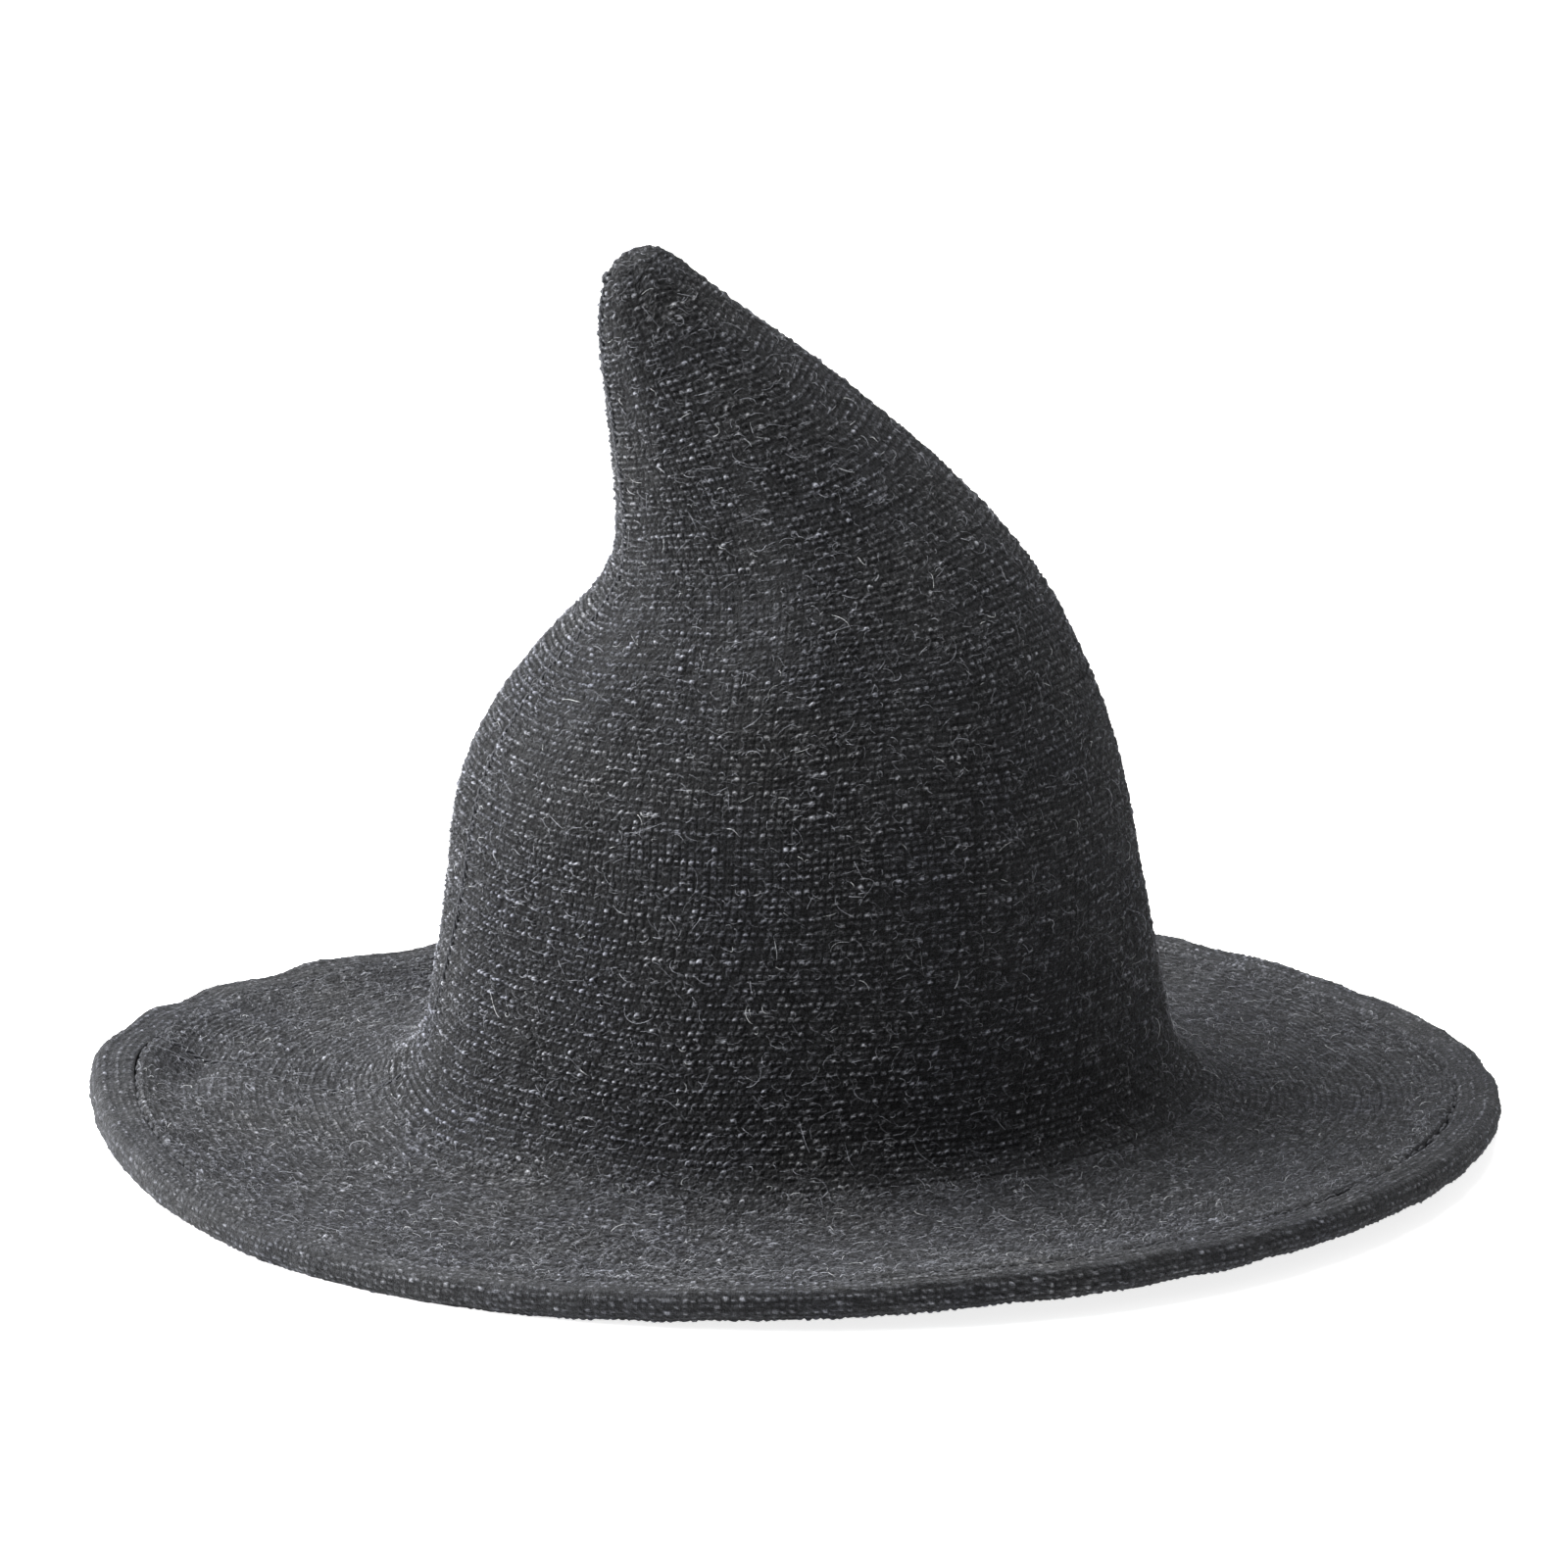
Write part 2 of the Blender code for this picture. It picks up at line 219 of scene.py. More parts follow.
def surface(t, azimuth):
    """Points of the fabric's outer face."""
    x, z, radius, tilt = station(t)
    wave = smoothstep(WAVE_START_RADIUS, WAVE_FULL_RADIUS, radius)
    oval = CROWN_OVAL + (BRIM_OVAL - CROWN_OVAL) * wave
    across = radius * np.cos(azimuth)
    edge = smoothstep(*EDGE_RADII, radius)
    dent = bump(turned(azimuth, DENT_AZIMUTH), 0, DENT_SPREAD) * bump(radius, DENT_RADIUS, DENT_WIDTH)
    return np.stack((
        x + across * np.cos(tilt),
        radius * oval * np.sin(azimuth),
        HEM_MID_Z + z + across * np.sin(tilt) + wave * rim_wave(azimuth)
        + edge * scallop(azimuth) - DENT_DEPTH * dent,
    ), axis=-1)


def unit(vectors):
    return vectors / np.maximum(np.linalg.norm(vectors, axis=-1, keepdims=True), 1e-12)


def outward(t, azimuth):
    """Unit normals of the fabric's outer face."""
    step = 0.01
    inside = np.clip(t, step, APEX - 3 * step)
    along = surface(inside + step, azimuth) - surface(inside - step, azimuth)
    around = surface(inside, azimuth + step) - surface(inside, azimuth - step)
    return unit(np.cross(around, along))


def seam_azimuth(t):
    t = np.asarray(t, float)
    made = np.full(t.shape, SEAM_ROUTE[0][1])
    for (low, start), (high, end) in zip(SEAM_ROUTE, SEAM_ROUTE[1:]):
        made = made + (end - start) * smoothstep(low, high, t)
    return np.radians(made)


def hem_path():
    """The hem's outer section, as lengths along it, (outward, up) points and their normals."""
    arc = np.linspace(math.pi / 2, -math.pi / 2, 25)
    bend = np.stack((HEM_BEND_OFFSET + HEM_HALF_HEIGHT * np.cos(arc), HEM_HALF_HEIGHT * np.sin(arc)), axis=1)
    corners = np.concatenate(([HEM_START], bend, [HEM_FOOT, HEM_END]))
    lengths = np.concatenate(([0], np.cumsum(np.linalg.norm(np.diff(corners, axis=0), axis=1))))
    fine = np.linspace(0, lengths[-1], 240)
    points = np.stack([np.interp(fine, lengths, corners[:, k]) for k in (0, 1)], axis=1)
    along = unit(np.gradient(points, axis=0))
    return fine, points, np.stack((-along[:, 1], along[:, 0]), axis=1)


HEM_PATH = hem_path()
HEM_LENGTH = HEM_PATH[0][-1]


def hem_point(share, azimuth, height):
    """Points this high over the hem's outer face. share runs from 0 at its top edge to 1 underneath."""
    fine, section, normals = HEM_PATH
    place = np.clip(share, 0, 1) * HEM_LENGTH
    out = np.interp(place, fine, section[:, 0]) + height * np.interp(place, fine, normals[:, 0])
    up = np.interp(place, fine, section[:, 1]) + height * np.interp(place, fine, normals[:, 1])
    waved = scallop(azimuth)
    return np.stack((
        (HEM_RADIUS + out + 0.5 * waved) * np.cos(azimuth),
        (HEM_RADIUS * BRIM_OVAL + out * BRIM_OVAL + 0.5 * waved) * np.sin(azimuth),
        np.maximum(HEM_MID_Z + rim_wave(azimuth) + waved + up, 0.0),
    ), axis=-1)


# ---------------------------------------------------------------- meshes

def between_rings(first, first_count, second, second_count):
    """Triangles between two closed rings of vertices that may differ in number."""
    if first_count == second_count:
        here = np.arange(first_count)
        ahead = (here + 1) % first_count
        lower = np.stack((first + here, first + ahead, second + ahead), axis=1)
        upper = np.stack((first + here, second + ahead, second + here), axis=1)
        return np.concatenate((lower, upper))
    ends = np.concatenate((
        (np.arange(first_count) + 1) / first_count, (np.arange(second_count) + 1) / second_count
    ))
    on_first = np.arange(first_count + second_count) < first_count
    on_first = on_first[np.argsort(ends, kind="stable")]
    passed_first = np.cumsum(on_first) - on_first
    passed_second = np.cumsum(~on_first) - ~on_first
    low = first + passed_first % first_count
    high = second + passed_second % second_count
    low_next = first + (passed_first + 1) % first_count
    high_next = second + (passed_second + 1) % second_count
    return np.stack((low, np.where(on_first, low_next, high_next), high), axis=1)


def closed_mesh(name, rings, layers, material):
    """A closed solid through rings of points. layers holds {attribute: one array for each ring}."""
    counts = [len(ring) for ring in rings]
    starts = np.concatenate(([0], np.cumsum(counts)))
    pairs = list(zip(range(len(rings)), range(1, len(rings)))) + [(len(rings) - 1, 0)]
    faces = np.concatenate([between_rings(starts[a], counts[a], starts[b], counts[b]) for a, b in pairs])
    distinct = (
        (faces[:, 0] != faces[:, 1]) & (faces[:, 1] != faces[:, 2]) & (faces[:, 2] != faces[:, 0])
    )
    faces = faces[distinct]
    points = np.concatenate(rings)
    corners = points[faces]
    if np.linalg.det(corners - points.mean(axis=0)).sum() < 0:
        faces = faces[:, ::-1]
    joined = {key: np.concatenate(parts) for key, parts in layers.items()}
    return triangle_mesh(name, points, faces, joined, material)


def triangle_mesh(name, points, faces, layers, material):
    mesh = bpy.data.meshes.new(name)
    mesh.vertices.add(len(points))
    mesh.vertices.foreach_set("co", np.ascontiguousarray(points, np.float32).ravel())
    mesh.loops.add(faces.size)
    mesh.loops.foreach_set("vertex_index", np.ascontiguousarray(faces, np.int32).ravel())
    mesh.polygons.add(len(faces))
    mesh.polygons.foreach_set("loop_start", np.arange(0, faces.size, 3, dtype=np.int32))
    mesh.update(calc_edges=True)
    for key, values in layers.items():
        kind, field = ("FLOAT", "value") if values.ndim == 1 else ("FLOAT_VECTOR", "vector")
        layer = mesh.attributes.new(key, kind, "POINT")
        layer.data.foreach_set(field, np.ascontiguousarray(values, np.float32).ravel())
    mesh.shade_smooth()
    mesh.materials.append(material)
    made = bpy.data.objects.new(name, mesh)
    bpy.context.scene.collection.objects.link(made)
    return made


def tubes(name, paths, radii, sides, material, tones=None):
    """Tapered closed tubes along many paths of equal length, as one mesh. paths is (count, points, 3)."""
    count, length, _ = paths.shape
    tangents = unit(np.gradient(paths, axis=1))
    reference = np.where(np.abs(tangents[..., 2:]) > 0.8, (1.0, 0.0, 0.0), (0.0, 0.0, 1.0))
    across = unit(np.cross(tangents, reference))
    up = np.cross(across, tangents)
    angles = 2 * math.pi * np.arange(sides) / sides
    ring = np.cos(angles)[:, None] * across[:, :, None] + np.sin(angles)[:, None] * up[:, :, None]
    points = paths[:, :, None] + radii[:, :, None, None] * ring
    ids = np.arange(count * length * sides).reshape(count, length, sides)
    here, ahead = ids, np.roll(ids, -1, axis=2)
    walls = [
        np.stack((here[:, :-1], ahead[:, :-1], ahead[:, 1:]), axis=-1),
        np.stack((here[:, :-1], ahead[:, 1:], here[:, 1:]), axis=-1),
    ]
    faces = [wall.reshape(-1, 3) for wall in walls]
    for k in range(1, sides - 1):
        faces.append(np.stack((ids[:, 0, 0], ids[:, 0, k + 1], ids[:, 0, k]), axis=-1))
        faces.append(np.stack((ids[:, -1, 0], ids[:, -1, k], ids[:, -1, k + 1]), axis=-1))
    faces = np.concatenate(faces)[:, ::-1]
    layers = {}
    if tones is not None:
        layers["tone"] = np.repeat(tones, length * sides)
    return triangle_mesh(name, points.reshape(-1, 3), faces, layers, material)


# ---------------------------------------------------------------- the knitting

class Ripple:
    """Smooth seeded noise of azimuth and height, made of a few waves."""

    def __init__(self, waves, around, up):
        self.parts = [
            (int(RANDOM.integers(1, around)), RANDOM.uniform(-up, up), RANDOM.uniform(0, 2 * math.pi))
            for _ in range(waves)
        ]

    def __call__(self, azimuth, height):
        total = sum(np.sin(n * azimuth + k * height + phase) for n, k, phase in self.parts)
        return total / math.sqrt(len(self.parts))


def meridian_table():
    """Stations and the length of fabric up to each, as the mean of eight meridians."""
    t = np.linspace(0, APEX, 1200)
    lengths = []
    for azimuth in np.linspace(0, 2 * math.pi, 8, endpoint=False):
        points = surface(t, np.full_like(t, azimuth))
        lengths.append(np.concatenate(([0], np.cumsum(np.linalg.norm(np.diff(points, axis=0), axis=1)))))
    return t, np.mean(lengths, axis=0)


def courses():
    """Each course as (lower station, upper station, wales)."""
    t, length = meridian_table()
    count = int(round(length[-1] / COURSE))
    edges = np.interp(np.linspace(0, length[-1], count + 1), length, t)
    made = []
    for low, high in zip(edges[:-1], edges[1:]):
        radius = station((low + high) / 2)[2][0]
        made.append((low, high, max(6, 6 * int(round(2 * math.pi * radius * GATHER / WALE / 6)))))
    return made


COURSES = courses()
CROWN_FIRST = next(k for k, (low, _, _) in enumerate(COURSES) if low > CROWN_RISE)
HEM_WALES = int(round(2 * math.pi * HEM_RADIUS / WALE))
WANDER = Ripple(7, 9, 0.3)
SWELL = Ripple(9, 7, 0.35)
FELT = Ripple(10, 13, 0.5)
LUMPS = Ripple(14, 60, 1.4)


def strand(p, q, centre, width, thickness):
    """The rounded relief of short strands of yarn, each one crossing a stitch at height centre."""
    reach = np.clip(np.cos(math.pi * p / width), 0, None) ** 0.45
    away = q - centre
    away = (away - np.round(away)) * COURSE / thickness
    return reach * np.sqrt(np.clip(1 - away * away, 0, None))


def stitches(column, q, wales, course, seed, softness):
    """Height of the purl side over its valleys, 0 to 1, and how light each stitch's yarn is.

    column counts wales, q runs from 0 to 1 up the course, and softness runs from 0, crisp, to 1.
    Every second course stands out more, as the strands of neighbouring loops pair up.
    """
    rough = np.random.default_rng((seed, course)).normal(size=(6, wales))
    head = np.floor(column).astype(int) % wales
    p = column - np.floor(column) - 0.5
    loose = 0.08 + 0.07 * softness
    proud = 1.0 if course % 2 == 0 else 0.7
    heads = (proud + 0.24 * rough[0, head]) * strand(
        p + loose * rough[1, head],
        q,
        0.5 + 0.1 * np.cos(2 * math.pi * p) + loose * rough[2, head] + 0.22 * p * rough[3, head],
        1.0,
        STRAND * (1 + 0.2 * rough[4, head]),
    )
    legs = 0.4 * np.clip(np.cos(2 * math.pi * (np.abs(p) - 0.32) / 0.5), 0, None)
    return np.clip(np.maximum(heads, legs), 0, 1.5), rough[5, head]


def density(course):
    """Rows of vertices in a course's outer face, and samples in each of its stitches."""
    return (ROWS_BRIM if course < CROWN_FIRST else ROWS_CROWN), SAMPLES_OUTSIDE


def shares(first, last):
    """Cuts the courses from first to last into bands of at most MOST_FACES triangles."""
    cuts, held = [first], 0
    for course in range(first, last):
        rows, samples = density(course)
        here = 2 * COURSES[course][2] * (rows * samples + ROWS_INSIDE * SAMPLES_INSIDE)
        if held + here > MOST_FACES:
            cuts.append(course)
            held = 0
        held += here
    return list(zip(cuts, cuts[1:] + [last]))


def fabric_rings(first, last, outside):
    """Rings of one face of the fabric, from course first up to course last, with their layers."""
    rings, layers = [], {"relief": [], "light": [], "yarn": []}
    for course in range(first, last):
        low, high, wales = COURSES[course]
        rows, samples = density(course) if outside else (ROWS_INSIDE, SAMPLES_INSIDE)
        soft = float(1 - smoothstep(3.4, 5.6, (low + high) / 2))
        size = wales * samples
        column = np.arange(size) / samples
        azimuth = float(seam_azimuth(low)) + 2 * math.pi * column / wales
        radius = station((low + high) / 2)[2][0]
        for row in range(rows):
            q = row / rows
            level = (course + q) / 2
            shift = 0.5 * (high - low) * WANDER(azimuth, level * 0.6)
            t = np.clip(low + (high - low) * q + shift, 0, APEX)
            relief, light = stitches(column, np.full(size, q), wales, course, 1000, soft)
            # Deeper relief, and darker painted shade in the valleys, on the lit left side than on the shaded
            # right.
            crisp = CRISP[0] + CRISP[1] * bump(turned(azimuth, CRISP_AZIMUTH), 0, CRISP_SPREAD)
            relief = 0.5 + (relief - 0.5) * crisp
            felt = np.clip(0.25 * FELT(azimuth, level * 0.4) + 0.5 * soft, 0, 0.8)
            height = (relief - 0.5) * RELIEF * (1 - felt)
            height = height + LUMPS(azimuth, level * 1.1) * (0.07 + 0.12 * soft) * MM
            height = height + SWELL(azimuth, level * 0.5) * 0.3 * MM
            grain = np.random.default_rng((course, row)).normal(size=size)
            height = height + grain * (0.06 + 0.05 * soft) * MM
            height = height - HEM_DIP * bump(t, 0, 0.1)
            seam = bump(turned(azimuth, seam_azimuth(t)) * radius, 0, 1.2 * MM)
            height = height - (0.4 + 0.5 * soft) * MM * seam
            height = height * smoothstep(0, 0.4, APEX - t)
            base = surface(t, azimuth)
            normal = outward(t, azimuth)
            if outside:
                rings.append(base + normal * height[:, None])
            else:
                rings.append(base - normal * (FABRIC + 0.6 * height)[:, None])
            # This relief layer also sets the wool's colour: painted shade in the valleys, painted light on
            # the strands.
            layers["relief"].append(relief * (1 - 0.5 * felt) + 0.25 * felt)
            layers["light"].append(light)
            layers["yarn"].append(np.stack(
                (azimuth * radius, np.full(size, (course + q) * COURSE), column * 0), -1
            ))
    return rings, layers


def both_faces(name, outer, inner, material):
    """A closed ring of fabric from its outer rings and its inner ones."""
    layers = {key: outer[1][key] + inner[1][key][::-1] for key in outer[1]}
    return closed_mesh(name, outer[0] + inner[0][::-1], layers, material)


def knit_band(name, first, last, material):
    """A closed ring of fabric from course first up to course last, with both of its faces."""
    faces = [fabric_rings(first, last, True), fabric_rings(first, last, False)]
    tip = np.array([APEX])
    for (rings, layers), outside in zip(faces, (True, False)):
        if last == len(COURSES):
            depth = 0 if outside else FABRIC
            rings.append(surface(tip, np.zeros(1)) - outward(tip, np.zeros(1)) * depth)
            for values in layers.values():
                values.append(values[-1][:1])
        else:
            # the next course's first row, so that neighbouring bands meet in one line
            more_rings, more_layers = fabric_rings(last, last + 1, outside)
            rings.append(more_rings[0])
            for key, values in layers.items():
                values.append(more_layers[key][0])
    return both_faces(name, *faces, material)


def hem_rings(first, last, outside):
    """Rings of one face of the rolled hem, from course first to course last, going over and under."""
    rows, samples = (4, 3) if outside else (2, 1)
    size = HEM_WALES * samples
    column = np.arange(size) / samples
    azimuth = float(seam_azimuth(0)) + 2 * math.pi * column / HEM_WALES
    rings, layers = [], {"relief": [], "light": [], "yarn": []}
    for step in range(first * rows, last * rows + 1):
        level = step / rows
        course = int(level)
        relief, light = stitches(column, np.full(size, level - course), HEM_WALES, course, 3000, 0.4)
        felt = np.clip(0.25 + 0.2 * FELT(azimuth, 9 + level * 0.2), 0, 0.7)
        share = level / HEM_COURSES
        height = (relief - 0.5) * RELIEF * HEM_RELIEF * (1 - felt)
        height = height + LUMPS(azimuth, 40 + level * 0.55) * 0.2 * MM
        height = height + np.random.default_rng((77, step)).normal(size=size) * 0.07 * MM
        height = height - HEM_DIP * bump(share, 0, 0.05) + HEM_RIDGE * bump(share, 0.3, 0.06)
        rings.append(hem_point(share, azimuth, height if outside else np.full(size, -HEM_FABRIC)))
        # This relief layer also sets the wool's colour: painted shade in the valleys, painted light on the
        # strands.
        layers["relief"].append(relief * (1 - 0.5 * felt) + 0.25 * felt)
        layers["light"].append(light)
        layers["yarn"].append(np.stack(
            (azimuth * HEM_RADIUS, np.full(size, (level - HEM_COURSES) * COURSE), column * 0), -1
        ))
    return rings, layers


def knit_hem(name, first, last, material):
    return both_faces(name, hem_rings(first, last, True), hem_rings(first, last, False), material)


# ---------------------------------------------------------------- threads, ribbon and label

def dashes(name, line, count, length, spread, radius, lift, material):
    """A running stitch: count short stitches along a line. line(s) gives points and normals, s in turns."""
    draw = np.random.default_rng(count)
    middles = (np.arange(count) + 0.12 * draw.normal(size=count)) / count
    along = np.linspace(-0.5, 0.5, 7)
    place = middles[:, None] + along * (length * (1 + 0.12 * draw.normal(size=(count, 1)))) * spread
    points, normals = line(place.ravel())
    rise = (np.cos(math.pi * along) - 0.35) * lift
    paths = points.reshape(count, 7, 3) + normals.reshape(count, 7, 3) * rise[None, :, None]
    radii = np.full((count, 7), radius) * (0.75 + 0.25 * np.cos(math.pi * along))
    return tubes(name, paths, radii, 6, material)


def hem_line(turns):
    azimuth = turns * 2 * math.pi
    t = np.full(azimuth.shape, HEM_STITCH_STATION)
    normal = outward(t, azimuth)
    return surface(t, azimuth) - normal * HEM_STITCH_DEPTH, normal


def band_line(turns):
    azimuth = turns * 2 * math.pi
    t = np.full(azimuth.shape, BAND_STITCH_STATION)
    normal = outward(t, azimuth)
    return surface(t, azimuth) - normal * (FABRIC + 0.7 * MM + BAND_THICKNESS), -normal


def linking_seam(material):
    """Two strands of yarn, twisted round each other, that link the fabric's edges up one side."""
    t, length = meridian_table()
    first, last = np.interp(SEAM_ENDS, t, length)
    along = np.arange(first, last, SEAM_STRAND)
    at = np.interp(along, length, t)
    azimuth = seam_azimuth(at)
    points = surface(at, azimuth)
    normals = outward(at, azimuth)
    across = unit(np.cross(np.gradient(points, axis=0), normals))
    paths = []
    for phase in (0, math.pi):
        turn = 2 * math.pi * along / SEAM_PITCH + phase
        side = across * np.cos(turn)[:, None] * 0.7 * MM
        paths.append(points + side + normals * (np.sin(turn) * 0.35 - 0.35)[:, None] * MM)
    radii = np.full((2, len(along)), SEAM_STRAND)
    return tubes("linking_seam", np.stack(paths), radii, 6, material)


def tip_knot(material):
    """The yarn's end, drawn up and knotted where the knitting closes."""
    azimuth = np.array([KNOT_AZIMUTH])
    t = np.array([KNOT_STATION])
    normal = outward(t, azimuth)[0]
    centre = surface(t, azimuth)[0] + normal * 0.15 * MM
    side = unit(np.cross(normal, (0.0, 1.0, 0.0)))
    other = np.cross(normal, side)
    size = 60
    turn = np.linspace(0, 2 * math.pi, size)
    ring = (0.95 + 0.4 * np.cos(3 * turn)) * MM
    knot = (
        centre
        + (ring * np.cos(2 * turn))[:, None] * side
        + (ring * np.sin(2 * turn))[:, None] * other
        + (0.4 * np.sin(3 * turn))[:, None] * MM * normal
    )
    return tubes("tip_knot", knot[None], np.full((1, size), KNOT_STRAND), 8, material)


def grosgrain_band(material):
    """The ribbon inside the head opening, with ribs across its width and a firm edge along each side."""
    ribs, samples, rows = 420, 4, 14
    size = ribs * samples
    column = np.arange(size) / samples
    azimuth = 2 * math.pi * column / ribs
    rings, relief = [], []
    for face in (1, -1):
        for row in range(rows + 1):
            q = row / rows if face == 1 else 1 - row / rows
            edge = bump(q, 0, 0.06) + bump(q, 1, 0.06)
            rib = 0.5 + 0.5 * np.cos(2 * math.pi * column)
            t = BAND_LOW + (BAND_HIGH - BAND_LOW) * q + 0.012 * np.sin(5 * azimuth) + 0.004 * edge * rib
            height = (0.16 * rib + 0.12 * edge) * MM
            middle = FABRIC + 0.75 * MM + BAND_THICKNESS / 2 + 0.12 * MM * np.sin(9 * azimuth + 4 * q)
            depth = middle + face * (BAND_THICKNESS / 2 - 0.25 * MM + height)
            rings.append(surface(t, azimuth) - outward(t, azimuth) * depth[:, None])
            relief.append(rib)
    return closed_mesh("grosgrain_sweatband", rings, {"relief": relief}, material)


def woven_label(material):
    """A blank woven label that follows the crown's inside."""
    across, up, half = 45, 61, 0.22 * MM
    u = np.linspace(-1, 1, across)
    v = np.linspace(-1, 1, up)
    grid_u, grid_v = (axis.ravel() for axis in np.meshgrid(u, v))
    t = LABEL_STATION + LABEL_REACH * grid_v
    radius = station(t)[2]
    azimuth = math.pi + grid_u * LABEL_FLAT[0] / 2 / radius
    base = surface(t, azimuth)
    normal = outward(t, azimuth)
    weave = 0.05 * MM * np.where((np.arange(up) % 2 == 0)[:, None], 1, -1).repeat(across, 1).ravel()
    sag = 0.25 * MM * np.cos(1.5 * math.pi * grid_v)
    middle = FABRIC + 1.0 * MM + sag
    fronts = base - normal * (middle + half + weave)[:, None]
    backs = base - normal * (middle - half)[:, None]
    ids = np.arange(across * up).reshape(up, across)
    a, b, c, d = ids[:-1, :-1].ravel(), ids[:-1, 1:].ravel(), ids[1:, 1:].ravel(), ids[1:, :-1].ravel()
    sheet = np.concatenate((np.stack((a, b, c), 1), np.stack((a, c, d), 1)))
    rim = np.concatenate((ids[0], ids[1:, -1], ids[-1, -2::-1], ids[-2:0:-1, 0]))
    ahead = np.roll(rim, -1)
    shift = across * up
    walls = np.concatenate((
        np.stack((rim, rim + shift, ahead + shift), 1), np.stack((rim, ahead + shift, ahead), 1)
    ))
    faces = np.concatenate((sheet, sheet[:, ::-1] + shift, walls))
    points = np.concatenate((fronts, backs))
    corners = points[faces]
    if np.linalg.det(corners - points.mean(axis=0)).sum() < 0:
        faces = faces[:, ::-1]
    layers = {"relief": np.tile(np.where(weave > 0, 1.0, 0.0), 2)}
    return triangle_mesh("woven_label", points, faces, layers, material)


# ---------------------------------------------------------------- loose fibres

def fibres(name, count, low, high, seed, material, middle=2.2, segments=4, lift=0.35):
    """Loose fibres that lie on the fabric between two stations, curled and mostly flat.

    middle is their usual length and lift how far they rise, both in millimetres.
    """
    draw = np.random.default_rng(seed)
    table_t, table_length = meridian_table()
    radius = station(table_t)[2]
    weight = np.where((table_t >= low) & (table_t <= high), np.maximum(radius, 2 * MM), 0)
    area = np.cumsum(weight * np.gradient(table_length))
    t = np.interp(draw.uniform(0, area[-1], count), area, table_t)
    azimuth = draw.uniform(0, 2 * math.pi, count)
    length = np.clip(np.exp(draw.normal(math.log(middle), 0.45, count)), 0.9, 11) * MM
    heading = draw.normal(0, 0.7, count) + math.pi * (draw.uniform(size=count) < 0.5)
    curl = draw.normal(0, 0.9, count)
    curl_more = draw.normal(0, 0.9, count)
    rise = np.abs(draw.normal(0, lift, count)) * MM
    rise_per_t = np.interp(t, table_t, np.gradient(table_length, table_t))
    here_t, here_azimuth, paths = t.copy(), azimuth.copy(), []
    for k in range(segments + 1):
        share = k / segments
        height = (0.3 + 0.15 * min(1.0, 4 * share)) * MM + rise * math.sin(math.pi * (0.1 + 0.8 * share))
        height = height * (0.3 if k == 0 else 1.0)
        points = surface(here_t, here_azimuth) + outward(here_t, here_azimuth) * height[:, None]
        paths.append(points)
        angle = heading + curl * share * 1.4 + curl_more * share * share * 1.6
        local = np.maximum(station(here_t)[2], 4 * MM)
        here_azimuth = here_azimuth + np.cos(angle) * length / segments / local
        here_t = np.clip(here_t + np.sin(angle) * length / segments / rise_per_t, low, high)
    thick = draw.uniform(0.03, 0.05, count) * MM
    taper = 1 - 0.6 * np.linspace(0, 1, segments + 1) ** 2
    tones = np.clip(draw.beta(1.4, 2.6, count) + 0.6 * (draw.uniform(size=count) < 0.04), 0, 1)
    return tubes(name, np.stack(paths, axis=1), thick[:, None] * taper, 3, material, tones)


# ---------------------------------------------------------------- materials

def new_material(name):
    made = bpy.data.materials.new(name)
    made.use_nodes = True
    tree = made.node_tree
    return made, tree, tree.nodes["Principled BSDF"]


def node(tree, kind, settings=(), **inputs):
    made = tree.nodes.new(kind)
    for key, value in dict(settings).items():
        setattr(made, key, value)
    for key, value in inputs.items():
        made.inputs[key.replace("_", " ")].default_value = value
    return made


def attribute(tree, name, output="Fac"):
    return node(tree, "ShaderNodeAttribute", {"attribute_name": name}).outputs[output]


def noise(tree, place, scale, detail=3.0, roughness=0.6):
    made = node(tree, "ShaderNodeTexNoise", Scale=scale, Detail=detail, Roughness=roughness)
    tree.links.new(place, made.inputs["Vector"])
    return made.outputs["Fac"]


def stretched(tree, place, scale):
    made = node(tree, "ShaderNodeMapping", Scale=scale)
    tree.links.new(place, made.inputs["Vector"])
    return made.outputs["Vector"]


def weighted(tree, parts, start=0.0):
    """start plus each output times its weight."""
    total = None
    for output, weight in parts:
        step = node(tree, "ShaderNodeMath", {"operation": "MULTIPLY_ADD"})
        tree.links.new(output, step.inputs[0])
        step.inputs[1].default_value = weight
        if total is None:
            step.inputs[2].default_value = start
        else:
            tree.links.new(total, step.inputs[2])
        total = step.outputs[0]
    return total


def ramp(tree, source, stops):
    made = tree.nodes.new("ShaderNodeValToRGB")
    elements = made.color_ramp.elements
    while len(elements) < len(stops):
        elements.new(0.5)
    for element, (place, colour) in zip(elements, stops):
        element.position = place
        element.color = (*colour, 1.0)
    tree.links.new(source, made.inputs["Fac"])
    return made.outputs["Color"]


def mixed(tree, kind, first, second, factor=1.0):
    made = node(tree, "ShaderNodeMix", {"data_type": "RGBA", "blend_type": kind})
    made.inputs["Factor"].default_value = factor
    tree.links.new(first, made.inputs["A"])
    tree.links.new(second, made.inputs["B"])
    return made.outputs["Result"]


def bumps(tree, shader, parts):
    """Bump maps on top of each other. parts holds (output, strength, distance)."""
    normal = None
    for output, strength, distance in parts:
        made = node(tree, "ShaderNodeBump", Strength=strength, Distance=distance)
        tree.links.new(output, made.inputs["Height"])
        if normal is not None:
            tree.links.new(normal, made.inputs["Normal"])
        normal = made.outputs["Normal"]
    tree.links.new(normal, shader.inputs["Normal"])


